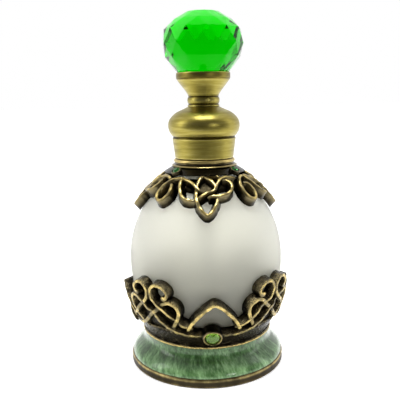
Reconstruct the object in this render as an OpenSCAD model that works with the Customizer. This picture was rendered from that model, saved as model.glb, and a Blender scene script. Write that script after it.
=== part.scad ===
// Perfume atomiser: a frosted glass bottle in an enamelled foot and a filigree cradle, with a filigree
// collar, a fine-mist pump on the neck, and a lift-off brass cap that carries a cut-glass knob.
// Millimetres. +Z is up, the origin is under the middle of the foot, and the front arch is on -Y.

/* [Glass bottle] */
// Largest outside radius of the glass
glass_r = 24; // [23.6:0.1:24.4]
// Height of the widest part above the table
glass_mid_z = 33.5; // [33:0.1:34]
// Half height of the upper half, as an ellipse
glass_up = 27.7; // [27.5:0.1:28]
// Half height of the lower half, as an ellipse
glass_down = 32; // [31.8:0.1:32.4]
// Wall thickness of the body
glass_wall = 2.2; // [1.6:0.1:2.6]
// Height of the flat underside
glass_base_z = 10.4; // [10.3:0.1:10.6]
// Height of the lip that the gasket sits on
lip_z = 67; // [66.8:0.1:67.2]
// Outside radius of the neck between its threads
neck_r = 5.75; // [5.6:0.05:5.8]
// Radius of the bore through the neck
neck_bore_r = 4.2; // [4.1:0.05:4.3]

/* [Foot] */
// Radius of the bronze band
foot_r = 24.5; // [24.4:0.1:25]
// Height of the bronze band
band_h = 2.3; // [2:0.1:2.4]
// Thickness of the enamel
enamel_t = 0.6; // [0.4:0.05:0.8]

/* [Filigree] */
// Gap between the filigree and the glass
fil_gap = 0.2; // [0.1:0.05:0.3]
// How far the filigree's outer face stands off the glass
fil_h = 3; // [2.8:0.1:3.1]
// Half width of a strand's polished edge
edge_r = 0.45; // [0.35:0.05:0.55]
// Half width of a cradle strand where it meets the glass
cradle_root_r = 1; // [0.8:0.05:1.2]
// Half width of a collar strand where it meets the glass
collar_root_r = 1.3; // [1:0.05:1.4]
// Turn of the collar's knots from the cradle's arches, in degrees
collar_turn = -4.5; // [-8:0.5:8]
// Turn of the cradle's arches from the front, in degrees
cradle_turn = -1.2; // [-3:0.2:3]
// Turn of the cradle's stones from the front, in degrees
stone_turn = -2.5; // [-3:0.5:3]

/* [Pump] */
// Travel of the actuator
stroke = 3.4; // [3:0.1:3.4]
// Outside radius of the screw closure
closure_r = 7.7; // [7.6:0.05:7.7]
// Radius of the actuator
actuator_r = 5.3; // [5:0.1:5.5]
// Wire radius of the return spring
wire_r = 0.25; // [0.2:0.05:0.3]
// Turns of the return spring
spring_turns = 5; // [4:1:6]

/* [Cap and knob] */
// Height of the lower edge of the cap
cap_z = 64.9; // [64.9:0.05:65.2]
// Wall thickness of the cap shell
cap_wall = 0.8; // [0.7:0.05:0.9]
// Facets round the knob
facets = 12; // [10:2:14]
// Height of the whole object
top_z = 108.2; // [107.8:0.1:108.6]

/* [Hidden] */

quarter = 90;
bronze = [0.45, 0.38, 0.2];
dark_bronze = [0.2, 0.17, 0.1];
brass = [0.66, 0.6, 0.32];
enamel_green = [0.42, 0.66, 0.48];
peridot = [0.45, 0.65, 0.15];
emerald = [0.05, 0.45, 0.15];

// Heights of the foot's parts
cove_top_z = 10.3;
foot_plate_z = 7.4;
foot_hollow_r = 19;

// Bowl of the cradle
bowl_h = 2.2;
bowl_top_z = 16.2;
bead_r = 20.6;
// Webs behind the scrolls, [half angle, height of the top]
bowl_webs = [[20, 18.4], [13, 21.5]];
web_h = 1.2;

// Cradle stones and collar stones
stone_r = 2.3;
stone_z = 15.4;
stone_tilt = -22;
collar_stone_r = 1.25;
collar_stone_at = [12.3, 61.7];
collar_stone_tilt = 32;

// Neck and pump
shoulder_z = 60.2;
thread_r = 6.45;
thread_zs = [62.4, 65];
closure_bore_r = 6.6;
closure_z = 60.9;
gasket_t = 0.9;
flange_t = 0.8;
plate_t = 0.8;
flange_z = lip_z + gasket_t;
plate_z = flange_z + flange_t;
closure_top_z = plate_z + plate_t;
housing_r = 3.6;
housing_bore_r = 3;
seat_z = 52.4;
tail_z = 46;
tube_r = 1.25;
tube_bore_r = 0.8;
tube_foot_z = 14.6;
ball_r = 1.15;
stem_r = 1.5;
stem_bore_r = 0.6;
piston_z = 60;
piston_h = 3.6;
run_gap = 0.05;
spring_r = 2.2;
spring_z = seat_z + 1.8;
boss_r = 3.5;
boss_top_z = closure_top_z + 0.9;
actuator_z = closure_top_z + stroke + 0.1;
actuator_top_z = 77.6;

// Cap
liner_r = 8.2;
liner_top_z = 70.2;
ceiling_z = 79.2;
dome_top_z = 80.4;
screw_r = 1.45;
screw_end_z = 87.2;
spool_top_z = 83.9;
cup_top_z = 90.6;
cup_floor_z = 88.3;
cup_seat_r = 7.3;

// A smooth curve through points p (Catmull-Rom), with n steps between neighbours
function knot_at(p, i) = p[max(0, min(len(p) - 1, i))];
function bend(a, b, c, d, t) =
    0.5 * ((2 * b) + (c - a) * t + (2 * a - 5 * b + 4 * c - d) * t * t + (3 * b - a - 3 * c + d) * t * t * t);
function curve(p, n) = concat(
    [for (i = [0:len(p) - 2], k = [0:n - 1])
        bend(knot_at(p, i - 1), p[i], p[i + 1], knot_at(p, i + 2), k / n)],
    [p[len(p) - 1]]
);
function reversed(p) = [for (i = [len(p) - 1:-1:0]) p[i]];
function mirrored(p) = [for (q = p) [-q[0], q[1]]];
function shifted(p, d) = [for (q = p) q + d];

// The glass is two half ellipses on one equator. A surface h outside it has both half axes h longer.
function half_at(z) = z > glass_mid_z ? glass_up : glass_down;
function skin_r(z, h) = (glass_r + h) * sqrt(1 - pow((z - glass_mid_z) / (half_at(z) + h), 2));
function skin(z0, z1, n, h) = [for (i = [0:n]) let (z = z0 + (z1 - z0) * i / n) [skin_r(z, h), z]];
// Elevation on the skin of a point that lies at height z on the filigree's outer face
function lift_at(z) = asin((z - glass_mid_z) / (half_at(z) + fil_h));

module post(p, root_r) {
    t = lift_at(p[1]);
    rotate([0, 0, p[0]])
        translate([0, -(glass_r + fil_gap) * cos(t), glass_mid_z + (half_at(p[1]) + fil_gap) * sin(t)])
            rotate([quarter - t, 0, 0])
                cylinder(h = fil_h - fil_gap, r1 = root_r, r2 = edge_r, $fn = 4);
}

// A strand stands on the glass along points [angle from the front, height of its outer edge]
module strand(points, root_r) {
    for (i = [0:len(points) - 2])
        hull() {
            post(points[i], root_r);
            post(points[i + 1], root_r);
        }
}

module four(turn = 0) {
    for (k = [0:3])
        rotate([0, 0, turn + k * quarter])
            children();
}

// ---- Foot ----

cove = curve([[24.1, band_h + 0.5], [24, 3.6], [23.3, 4.8], [21.9, 6.1], [20.6, 7.2], [20, 8.5], [20.3, cove_top_z]], 3);

module foot_casting() {
    hollow = [[foot_hollow_r + 2.5, 0], [foot_hollow_r + 2, 2], [foot_hollow_r - 1.5, foot_plate_z], [0, foot_plate_z]];
    color(bronze)
        rotate_extrude($fn = 96)
            polygon(concat(
                hollow,
                [[0, cove_top_z]],
                reversed(shifted(cove, [-enamel_t, 0])),
                [[foot_r - 0.4, band_h + 0.5], [foot_r, band_h], [foot_r, 0]]
            ));
}

module foot_enamel() {
    color(enamel_green)
        rotate_extrude($fn = 96)
            polygon(concat(cove, reversed(shifted(cove, [-enamel_t, 0]))));
}

// ---- Cradle ----

// One limb of the arch, then the strands of half a scroll: the curl, and the swag that turns into a leaf
arch_limb = [[-18.7, 17.1], [-15.9, 19.2], [-12.3, 21.2], [-8.8, 22.8], [-6.2, 24], [-2.5, 25.1], [0, 25.9]];
curl = [
    [30, 17.3], [26.5, 18], [22.5, 18.8], [18, 20], [14.6, 21.4], [8.5, 23.6], [5, 24.8], [2.2, 26.4], [1.4, 28.1],
    [2.4, 29.5], [5.4, 30.6], [9.9, 30.5], [13.3, 29.5], [14.6, 28.3], [13.8, 27.4], [12, 27], [10.4, 27.5]
];
leaf = [
    [36, 14.9], [33, 14.9], [27, 15.1], [21, 15.5], [16, 16.2], [11, 17.2], [7, 18.4], [3.3, 19.9], [-3, 22.1],
    [-6, 23.1], [-8.7, 24.3], [-11.3, 25.3], [-14.7, 25.8], [-18.4, 25.3], [-21, 24.1], [-21.5, 22.6],
    [-20.3, 20.9], [-16.2, 17.9], [-14, 16.4], [-11.5, 15]
];

module cradle_bowl() {
    color(dark_bronze) {
        rotate_extrude($fn = 96)
            polygon(concat(
                [[17.5, 10.9], [19, cove_top_z], [bead_r - 0.3, cove_top_z], [bead_r, cove_top_z + 0.3], [bead_r, 11]],
                [[bead_r - 0.4, 11.3]],
                skin(11.6, bowl_top_z - 0.6, 6, bowl_h),
                [[skin_r(bowl_top_z, bowl_h - 0.7), bowl_top_z]],
                reversed(skin(11.2, bowl_top_z, 7, fil_gap))
            ));
        // A web rises behind each pair of scrolls
        four(cradle_turn + quarter / 2)
            for (web = bowl_webs)
                rotate([0, 0, -quarter - web[0]])
                    rotate_extrude(angle = 2 * web[0], $fn = 96)
                        polygon(concat(skin(14, web[1], 4, web_h), reversed(skin(14, web[1], 4, fil_gap))));
    }
}

module cradle_arches() {
    color(dark_bronze)
        four(cradle_turn) {
            strand(arch_limb, cradle_root_r);
            strand(mirrored(arch_limb), cradle_root_r);
        }
}

module cradle_scrolls() {
    color(dark_bronze)
        four(cradle_turn + quarter / 2)
            for (side = [curl, leaf]) {
                strand(side, cradle_root_r);
                strand(mirrored(side), cradle_root_r);
            }
}

// Local +Z of a stone points away from the glass
module on_cradle() {
    four(stone_turn)
        translate([0, -skin_r(stone_z, bowl_h), stone_z])
            rotate([quarter - stone_tilt, 0, 0])
                children();
}

module cradle_settings() {
    color(bronze)
        on_cradle()
            difference() {
                translate([0, 0, 0.15])
                    cylinder(h = 1.45, r = stone_r + 0.6, $fn = 48);
                translate([0, 0, 0.6])
                    cylinder(h = 2, r = stone_r + 0.03, $fn = 48);
            }
}

module cradle_stones() {
    color(peridot)
        on_cradle()
            translate([0, 0, 0.6]) {
                cylinder(h = 0.9, r = stone_r, $fn = 12);
                translate([0, 0, 0.9])
                    cylinder(h = 0.8, r1 = stone_r, r2 = stone_r * 0.55, $fn = 12);
            }
}

// ---- Glass ----

module glass_bottle() {
    outside = concat(
        [[0, glass_base_z], [15.4, glass_base_z], [16.6, 10.9]],
        skin(11.6, 58.4, 36, 0),
        [[7.9, 59.6], [6.4, shoulder_z], [neck_r, shoulder_z]]
    );
    neck = concat(
        [for (z = thread_zs) each [[neck_r, z - 0.7], [thread_r, z - 0.3], [thread_r, z + 0.3], [neck_r, z + 0.7]]],
        [[neck_r, lip_z - 0.3], [neck_r - 0.3, lip_z], [neck_bore_r + 0.2, lip_z], [neck_bore_r, lip_z - 0.2]]
    );
    inside = concat(
        [[neck_bore_r, 59.2]],
        reversed(skin(14.8, 57.4, 30, -glass_wall)),
        [[14, 13.8], [0, 13.8]]
    );
    color([0.88, 0.9, 0.87, 0.7])
        rotate_extrude($fn = 96)
            polygon(concat(outside, neck, inside));
}

// ---- Collar ----

knot_strands = [
    [
        [-31.5, 60.2], [-30.5, 58.9], [-27.9, 57.6], [-24.8, 56.2], [-21.1, 55.2], [-17, 54.8], [-12.5, 54.9], [-8.3, 55.3],
        [-4, 56.1], [0, 56.7], [4.5, 57.2], [8.2, 57.6], [9.4, 58.4], [7.3, 59.2], [4.2, 59.9], [0.5, 60.4], [-3, 60.8]
    ],
    [[-31.5, 60.3], [-28, 60], [-22.9, 59.6], [-18, 59.3], [-14.3, 58.8], [-11.2, 58.1], [-8.2, 57.5], [-5.5, 57]],
    [
        [19.7, 60.3], [15.3, 60.7], [10.4, 61], [5.5, 61.2], [0.5, 61.2], [-3.8, 60.9], [-7.5, 60.2], [-10, 59.1],
        [-10.6, 58], [-10.2, 56.8], [-9.8, 55.5], [-8.3, 54.2], [-6.3, 53], [-3.2, 51.7], [0.2, 51], [3, 51.7],
        [5.5, 52.8], [7.9, 54.1], [9.3, 55.3], [9.6, 56.2]
    ],
    [[6.5, 57.3], [9.2, 57.9], [11, 58.7], [14.1, 59.4], [18.4, 60.1], [24, 60.3], [30.2, 60.3], [36.3, 60.1], [39.4, 59.8]],
    [
        [20, 60], [24.5, 59.7], [27.6, 59.1], [27.3, 58], [24.3, 57], [19.7, 56.3], [13.5, 55.9], [7.9, 55.8],
        [3.6, 55.8], [0.5, 55.6]
    ]
];
petal = [
    [12.8, 60.2], [8, 60.1], [2.5, 59.9], [-2.3, 59.2], [-5.4, 58.3], [-6.9, 57], [-6.6, 55.8], [-5, 54.9],
    [-2, 54.3], [1.8, 54.2], [4.9, 54.9], [7, 56], [7, 57.3], [4.8, 58.3], [1.6, 58.7]
];

module collar_ring() {
    color(dark_bronze)
        rotate_extrude($fn = 96)
            polygon(concat(
                [[7.95, 61], [7.95, 64.5], [8.5, 64.7]],
                [for (a = [80:-20:-60]) [8.9 + 0.62 * cos(a), 64.05 + 0.62 * sin(a)]],
                [[9.3, 63.1], [10, 62.9], [10.1, 62.6], [9.7, 62.4]],
                [[12.7, 60.8], [skin_r(60, fil_gap + 1), 59.4]],
                [for (z = [58.4, 59.2, 60]) [skin_r(z, fil_gap), z]]
            ));
}

module collar_knots() {
    color(dark_bronze)
        four(collar_turn)
            for (s = knot_strands)
                strand(s, collar_root_r);
}

module collar_petals() {
    color(dark_bronze)
        four(collar_turn + quarter / 2)
            strand(petal, collar_root_r);
}

module on_collar() {
    four(collar_turn + quarter / 2)
        translate([0, -collar_stone_at[0], collar_stone_at[1]])
            rotate([collar_stone_tilt, 0, 0])
                children();
}

module collar_cups() {
    color(bronze)
        on_collar()
            difference() {
                translate([0, 0, -0.8])
                    cylinder(h = 1.3, r = collar_stone_r + 0.4, $fn = 32);
                translate([0, 0, -0.3])
                    cylinder(h = 2, r = collar_stone_r + 0.03, $fn = 32);
            }
}

module collar_stones() {
    color(emerald)
        on_collar()
            translate([0, 0, -0.3])
                cylinder(h = 0.7, r = collar_stone_r, $fn = 12);
}

// ---- Pump ----

module pump_closure() {
    color([0.75, 0.68, 0.4])
        difference() {
            translate([0, 0, closure_z])
                cylinder(h = closure_top_z - closure_z, r = closure_r, $fn = 64);
            translate([0, 0, closure_z - 1])
                cylinder(h = plate_z - closure_z + 1, r = closure_bore_r, $fn = 64);
            translate([0, 0, plate_z - 1])
                cylinder(h = 3, r = boss_r + 0.1, $fn = 64);
        }
}

module neck_gasket() {
    color([0.9, 0.9, 0.88])
        translate([0, 0, lip_z])
            difference() {
                cylinder(h = gasket_t, r = neck_r - 0.05, $fn = 64);
                translate([0, 0, -1])
                    cylinder(h = gasket_t + 2, r = housing_r + 0.1, $fn = 64);
            }
}

module pump_housing() {
    outside = [
        [tube_r, tail_z], [tube_r + 0.7, tail_z], [tube_r + 0.7, seat_z - 2.2], [housing_r, seat_z - 0.6],
        [housing_r, flange_z], [neck_r - 0.1, flange_z], [neck_r - 0.1, plate_z]
    ];
    inside = [
        [housing_bore_r, plate_z], [housing_bore_r, seat_z + 1.8], [ball_r + 0.35, seat_z + 1.8],
        [ball_r + 0.35, seat_z], [tube_bore_r, seat_z - 0.9], [tube_bore_r, seat_z - 1.2], [tube_r, seat_z - 1.2]
    ];
    color([0.93, 0.93, 0.9])
        rotate_extrude($fn = 64)
            polygon(concat(outside, inside));
}

module housing_cap() {
    bore = stem_r + run_gap;
    color([0.85, 0.85, 0.82])
        rotate_extrude($fn = 64)
            polygon([
                [bore, 65.4], [housing_bore_r - 0.02, 65.4], [housing_bore_r - 0.02, plate_z],
                [boss_r, plate_z], [boss_r, boss_top_z - 0.3], [boss_r - 0.3, boss_top_z], [bore, boss_top_z]
            ]);
}

module dip_tube() {
    color([0.93, 0.95, 0.95, 0.8])
        difference() {
            translate([0, 0, tube_foot_z])
                cylinder(h = seat_z - 1.2 - tube_foot_z, r = tube_r - 0.01, $fn = 32);
            translate([0, 0, tube_foot_z - 1])
                cylinder(h = seat_z - tube_foot_z + 2, r = tube_bore_r, $fn = 32);
            translate([0, 0, tube_foot_z - 1])
                rotate([35, 0, 0])
                    cube([6, 6, 2], center = true);
        }
}

module inlet_ball() {
    color([0.8, 0.8, 0.82])
        translate([0, 0, seat_z])
            sphere(r = ball_r, $fn = 32);
}

module pump_spring() {
    steps = 8;
    rise = (piston_z - spring_z - 2 * wire_r) / (spring_turns * steps);
    color([0.7, 0.7, 0.72])
        for (i = [0:spring_turns * steps - 1])
            hull()
                for (k = [i, i + 1])
                    rotate([0, 0, k * 360 / steps])
                        translate([spring_r, 0, spring_z + wire_r + k * rise])
                            rotate([quarter, 0, 0])
                                cylinder(h = 0.02, r = wire_r, center = true, $fn = 5);
}

module piston() {
    color([0.88, 0.88, 0.86])
        difference() {
            translate([0, 0, piston_z])
                cylinder(h = piston_h, r = housing_bore_r - run_gap, $fn = 64);
            translate([0, 0, piston_z + 1])
                cylinder(h = piston_h, r = stem_r, $fn = 32);
            translate([0, 0, piston_z - 1])
                cylinder(h = piston_h, r = stem_bore_r, $fn = 32);
        }
}

module stem() {
    color([0.92, 0.92, 0.9])
        difference() {
            translate([0, 0, piston_z + 1])
                cylinder(h = 75.6 - piston_z - 1, r = stem_r, $fn = 32);
            translate([0, 0, piston_z])
                cylinder(h = 20, r = stem_bore_r, $fn = 32);
        }
}

module actuator() {
    h = actuator_top_z - actuator_z;
    nozzle_z = 75.4;
    color([0.78, 0.72, 0.45])
        difference() {
            rotate_extrude($fn = 64)
                polygon([
                    [0, actuator_z], [actuator_r, actuator_z], [actuator_r, actuator_top_z - 0.5],
                    [actuator_r - 0.5, actuator_top_z], [2.8, actuator_top_z], [0, actuator_top_z - 0.35]
                ]);
            translate([0, 0, actuator_z - 1])
                cylinder(h = 1 + 1.5, r = boss_r + 0.7, $fn = 64);
            translate([0, 0, actuator_z])
                cylinder(h = 2.6, r = stem_r + run_gap, $fn = 32);
            translate([0, 0, nozzle_z])
                rotate([quarter, 0, 0])
                    cylinder(h = actuator_r + 1, r = 0.35, $fn = 24);
            translate([0, -actuator_r + 1.6, nozzle_z])
                rotate([quarter, 0, 0])
                    cylinder(h = 3, r = 1.11, $fn = 32);
        }
}

module nozzle_insert() {
    color([0.95, 0.95, 0.93])
        translate([0, -actuator_r + 1.6, 75.4])
            rotate([quarter, 0, 0])
                difference() {
                    cylinder(h = 1.45, r = 1.1, $fn = 32);
                    translate([0, 0, -0.5])
                        cylinder(h = 3, r = 0.2, $fn = 24);
                }
}

// ---- Cap and knob ----

skirt_side = [[9.05, cap_z], [9.8, 70.8]];
dome_side = curve([[9.9, 71.7], [10.75, 73.1], [11.05, 75], [10.5, 76.8], [8.7, 78.6], [6.2, 79.8], [4.9, dome_top_z]], 3);

module cap_shell() {
    dome_inside = [for (p = reversed(dome_side)) if (p[1] < ceiling_z - 0.1) [p[0] - cap_wall - 0.3, p[1]]];
    color(brass)
        rotate_extrude($fn = 96)
            polygon(concat(
                skirt_side, [[9.55, 71.1], [9.6, 71.5]], dome_side,
                [[screw_r + 0.1, dome_top_z], [screw_r + 0.1, ceiling_z], [6.2, ceiling_z]],
                dome_inside,
                [[liner_r + 0.05, liner_top_z + 0.4], [liner_r + 0.05, cap_z]]
            ));
}

module cap_liner() {
    color([0.92, 0.92, 0.9])
        difference() {
            translate([0, 0, cap_z + 0.5])
                cylinder(h = liner_top_z - cap_z - 0.5, r = liner_r, $fn = 64);
            translate([0, 0, cap_z])
                cylinder(h = 10, r = closure_r + run_gap, $fn = 64);
        }
}

module spool_bead() {
    side = [
        [4.4, dome_top_z], [4.9, dome_top_z], [4.9, 80.8], [4.65, 81.1], [4.7, 81.4], [4.95, 82.2],
        [4.95, 82.6], [4.7, 83.3], [4.6, 83.5], [4.75, spool_top_z]
    ];
    color(brass)
        rotate_extrude($fn = 64)
            polygon(concat([[screw_r + 0.1, dome_top_z]], side, [[screw_r + 0.1, spool_top_z]]));
}

module crystal_cup() {
    color(brass)
        rotate_extrude($fn = 96)
            polygon([
                [screw_r, spool_top_z], [4.7, spool_top_z], [5.6, 85.3], [7.75, 88.2], [8.15, 88.7],
                [8.25, 89], [8.25, 90.3], [8.15, cup_top_z], [8.05, cup_top_z],
                [cup_seat_r, cup_floor_z], [0, cup_floor_z], [0, screw_end_z], [screw_r, screw_end_z]
            ]);
}

module finial_screw() {
    color([0.75, 0.7, 0.45])
        rotate_extrude($fn = 48)
            polygon([
                [0, ceiling_z - 1.1], [2.2, ceiling_z - 1.1], [2.6, ceiling_z - 0.8], [2.6, ceiling_z],
                [screw_r, ceiling_z], [screw_r, screw_end_z - 0.2], [0, screw_end_z - 0.2]
            ]);
}

// Rings of the knob's corners, [radius, height]: each ring is turned half a facet from the last
knob_rings = [
    [cup_seat_r - 1.3, cup_floor_z + 0.1], [8, cup_top_z + 0.2], [11.4, 95.2], [12.3, 99],
    [11.6, 103.3], [8.8, 106], [5.1, top_z]
];

module crystal_knob() {
    color([0, 0.7, 0.05, 0.9])
        hull()
            for (i = [0:len(knob_rings) - 1])
                rotate([0, 0, (i % 2) * 180 / facets])
                    translate([0, 0, knob_rings[i][1] - (i == 0 ? 0 : 0.01)])
                        cylinder(h = 0.01, r = knob_rings[i][0], $fn = facets);
}

foot_casting();
foot_enamel();
cradle_bowl();
cradle_arches();
cradle_scrolls();
cradle_settings();
cradle_stones();
glass_bottle();
collar_ring();
collar_knots();
collar_petals();
collar_cups();
collar_stones();
pump_closure();
neck_gasket();
pump_housing();
housing_cap();
dip_tube();
inlet_ball();
pump_spring();
piston();
stem();
actuator();
nozzle_insert();
cap_shell();
cap_liner();
spool_bead();
crystal_cup();
finial_screw();
crystal_knob();
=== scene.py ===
import math

import bmesh
import bpy
import numpy as np
from mathutils import Matrix


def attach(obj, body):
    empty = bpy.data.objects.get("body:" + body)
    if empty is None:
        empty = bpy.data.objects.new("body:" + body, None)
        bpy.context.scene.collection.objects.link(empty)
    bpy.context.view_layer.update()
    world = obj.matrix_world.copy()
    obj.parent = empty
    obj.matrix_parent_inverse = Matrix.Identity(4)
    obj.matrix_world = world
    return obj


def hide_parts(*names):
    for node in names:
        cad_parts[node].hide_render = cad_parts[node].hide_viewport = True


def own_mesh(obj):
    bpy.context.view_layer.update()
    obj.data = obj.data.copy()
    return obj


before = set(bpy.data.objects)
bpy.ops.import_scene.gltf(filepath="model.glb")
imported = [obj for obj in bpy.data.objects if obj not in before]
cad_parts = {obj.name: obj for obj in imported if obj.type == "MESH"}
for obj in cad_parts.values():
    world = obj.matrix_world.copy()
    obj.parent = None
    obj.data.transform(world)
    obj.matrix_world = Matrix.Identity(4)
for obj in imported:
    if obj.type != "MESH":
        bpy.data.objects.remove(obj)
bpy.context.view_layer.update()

# ---- Foot casting ----
# The foot is a hollow zinc casting, bronzed and antiqued. Only its band shows below the enamel: it is
# plain, with an edge at the floor and one at the enamel that have been rubbed paler.

MM = 0.001
FOOT_R = 24.5
ENAMEL_T = 0.6
COVE_TOP = 10.3
COVE = [(24.1, 2.8), (24.0, 3.6), (23.3, 4.8), (21.9, 6.1), (20.6, 7.2), (20.0, 8.5), (20.3, COVE_TOP)]


def smooth_path(points, steps):
    """Catmull-Rom curve: between neighbours b and c the point is half of
    2b + (c-a)t + (2a-5b+4c-d)t^2 + (3b-a-3c+d)t^3, for steps values of t."""
    p = np.asarray(points, float)
    p = np.vstack([p[:1], p, p[-1:]])
    t = np.arange(steps)[None, :, None] / steps
    a, b, c, d = (p[k:len(p) - 3 + k, None, :] for k in range(4))
    q = 0.5 * (2 * b + (c - a) * t + (2 * a - 5 * b + 4 * c - d) * t**2 + (3 * b - a - 3 * c + d) * t**3)
    return np.vstack([q.reshape(-1, p.shape[1]), p[-1:]])


def quads(rows, cols, ring):
    """Faces of a grid of points, row after row. Each row closes on itself; the last row joins the first
    when ring is true."""
    i, j = np.meshgrid(np.arange(rows if ring else rows - 1), np.arange(cols), indexing="ij")
    i2, j2 = (i + 1) % rows, (j + 1) % cols
    corners = [i * cols + j, i * cols + j2, i2 * cols + j2, i2 * cols + j]
    return np.stack(corners, -1).reshape(-1, 4).tolist()


def lathe(side, steps):
    """Turns the closed outline side, rows of (radius, height, tone), about Z. Point (i, j) is outline
    point i turned by j steps. The outline runs up the outside, so the faces point outwards."""
    side = np.asarray(side, float)
    turn = np.arange(steps) * 2 * math.pi / steps
    r, z = side[:, None, 0], side[:, None, 1]
    points = np.stack([r * np.sin(turn), -r * np.cos(turn), z + 0 * turn], -1).reshape(-1, 3)
    tone = side[:, 2] if side.shape[1] > 2 else np.zeros(len(side))
    return points, quads(len(side), steps, True), np.repeat(tone, steps)


def add_piece(name, shape, material, body, nodes, sharp=35, bevel=0.0):
    """Makes a mesh from (points in mm, faces, tone per point), joins doubled points at the poles, and
    tells the frame which body it rides on and which nodes it stands for."""
    points, faces, tone = shape
    mesh = bpy.data.meshes.new(name)
    mesh.from_pydata((np.asarray(points) * MM).tolist(), [], faces)
    mesh.attributes.new("tone", "FLOAT", "POINT").data.foreach_set("value", np.asarray(tone, np.float32))
    bm = bmesh.new()
    bm.from_mesh(mesh)
    bmesh.ops.remove_doubles(bm, verts=bm.verts, dist=1e-7)
    bm.to_mesh(mesh)
    bm.free()
    mesh.shade_smooth()
    mesh.set_sharp_from_angle(angle=math.radians(sharp))
    mesh.materials.append(material)
    piece = bpy.data.objects.new(name, mesh)
    bpy.context.scene.collection.objects.link(piece)
    if bevel:
        rim = piece.modifiers.new("rim", "BEVEL")
        rim.width = bevel * MM
        rim.segments = 2
        rim.limit_method = "ANGLE"
        rim.angle_limit = math.radians(30)
    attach(piece, body)
    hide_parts(*nodes)
    return piece


def new_material(name):
    """An empty material; returns it, its nodes, the function that links two sockets, and its shader."""
    material = bpy.data.materials.new(name)
    material.use_nodes = True
    tree = material.node_tree
    return material, tree.nodes, tree.links.new, tree.nodes["Principled BSDF"]


def put(tree, kind, x, y, **values):
    """Adds a node; names that are node properties are set on it, the rest are input sockets."""
    node = tree.new(kind)
    node.location = (x, y)
    for key, value in values.items():
        if hasattr(node, key):
            setattr(node, key, value)
        else:
            node.inputs[key.replace("_", " ")].default_value = value
    return node


def ramp(tree, x, y, stops):
    """A colour ramp whose stops are (position, colour)."""
    node = tree.new("ShaderNodeValToRGB")
    node.location = (x, y)
    band = node.color_ramp
    while len(band.elements) < len(stops):
        band.elements.new(0.5)
    for element, (place, colour) in zip(band.elements, stops):
        element.position = place
        element.color = (*colour, 1)
    return node


def grain_group():
    """Mottled grain from two noises: Mask is the soft blotches, Height those and the tight grain."""
    group = bpy.data.node_groups.new("metal grain", "ShaderNodeTree")
    for name, default in (("Scale", 150.0), ("Fine Scale", 900.0), ("Stretch", 1.0)):
        socket = group.interface.new_socket(name, in_out="INPUT", socket_type="NodeSocketFloat")
        socket.default_value = default
    for name in ("Mask", "Height"):
        group.interface.new_socket(name, in_out="OUTPUT", socket_type="NodeSocketFloat")
    tree, link = group.nodes, group.links.new
    give = put(tree, "NodeGroupInput", -900, 0)
    take = put(tree, "NodeGroupOutput", 500, 0)
    place = put(tree, "ShaderNodeTexCoord", -900, -200)
    pull = put(tree, "ShaderNodeCombineXYZ", -700, 100, X=1.0, Y=1.0)
    stretched = put(tree, "ShaderNodeVectorMath", -500, 0, operation="MULTIPLY")
    blotch = put(tree, "ShaderNodeTexNoise", -300, 150, Detail=5.0, Roughness=0.6)
    fine = put(tree, "ShaderNodeTexNoise", -300, -150, Detail=3.0, Roughness=0.65)
    both = put(tree, "ShaderNodeMath", 100, -50, operation="ADD")
    link(give.outputs["Stretch"], pull.inputs["Z"])
    link(place.outputs["Object"], stretched.inputs[0])
    link(pull.outputs[0], stretched.inputs[1])
    for noise, scale in ((blotch, "Scale"), (fine, "Fine Scale")):
        link(stretched.outputs[0], noise.inputs["Vector"])
        link(give.outputs[scale], noise.inputs["Scale"])
    link(blotch.outputs["Fac"], both.inputs[0])
    link(fine.outputs["Fac"], both.inputs[1])
    link(blotch.outputs["Fac"], take.inputs["Mask"])
    link(both.outputs[0], take.inputs["Height"])
    return group


GRAIN = grain_group()


def metal(name, stops, rough, scale=150.0, fine=900.0, stretch=1.0, bump=0.15, uneven=0.16):
    """Aged metal: colour runs through the stops with the tone drawn on the piece, broken up by grain;
    rubbed places are smoother, and the grain is felt in the surface."""
    material, tree, link, shader = new_material(name)
    shader.inputs["Metallic"].default_value = 1.0
    grain = put(tree, "ShaderNodeGroup", -900, 0, node_tree=GRAIN)
    grain.inputs["Scale"].default_value = scale
    grain.inputs["Fine Scale"].default_value = fine
    grain.inputs["Stretch"].default_value = stretch
    tone = put(tree, "ShaderNodeAttribute", -900, 300, attribute_name="tone")
    spread = put(tree, "ShaderNodeMapRange", -700, 0, From_Min=0.3, From_Max=0.7)
    spread.inputs["To Min"].default_value = -uneven
    spread.inputs["To Max"].default_value = uneven
    total = put(tree, "ShaderNodeMath", -500, 200, operation="ADD", use_clamp=True)
    colours = ramp(tree, -300, 200, stops)
    gloss = put(tree, "ShaderNodeMapRange", -300, -100, To_Min=rough[0], To_Max=rough[1])
    relief = put(tree, "ShaderNodeBump", -300, -400, Strength=bump, Distance=0.0005)
    link(grain.outputs["Mask"], spread.inputs["Value"])
    link(tone.outputs["Fac"], total.inputs[0])
    link(spread.outputs[0], total.inputs[1])
    link(total.outputs[0], colours.inputs["Fac"])
    link(colours.outputs["Color"], shader.inputs["Base Color"])
    link(total.outputs[0], gloss.inputs["Value"])
    link(gloss.outputs[0], shader.inputs["Roughness"])
    link(grain.outputs["Height"], relief.inputs["Height"])
    link(relief.outputs[0], shader.inputs["Normal"])
    return material


FOOT_STOPS = [
    (0.0, (0.018, 0.014, 0.008)),
    (0.5, (0.042, 0.034, 0.019)),
    (0.75, (0.13, 0.10, 0.045)),
    (1.0, (0.46, 0.37, 0.15)),
]
FOOT_BRONZE = metal("foot bronze", FOOT_STOPS, (0.55, 0.36), 260, 1500, 0.5, 0.2, 0.2)


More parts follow.
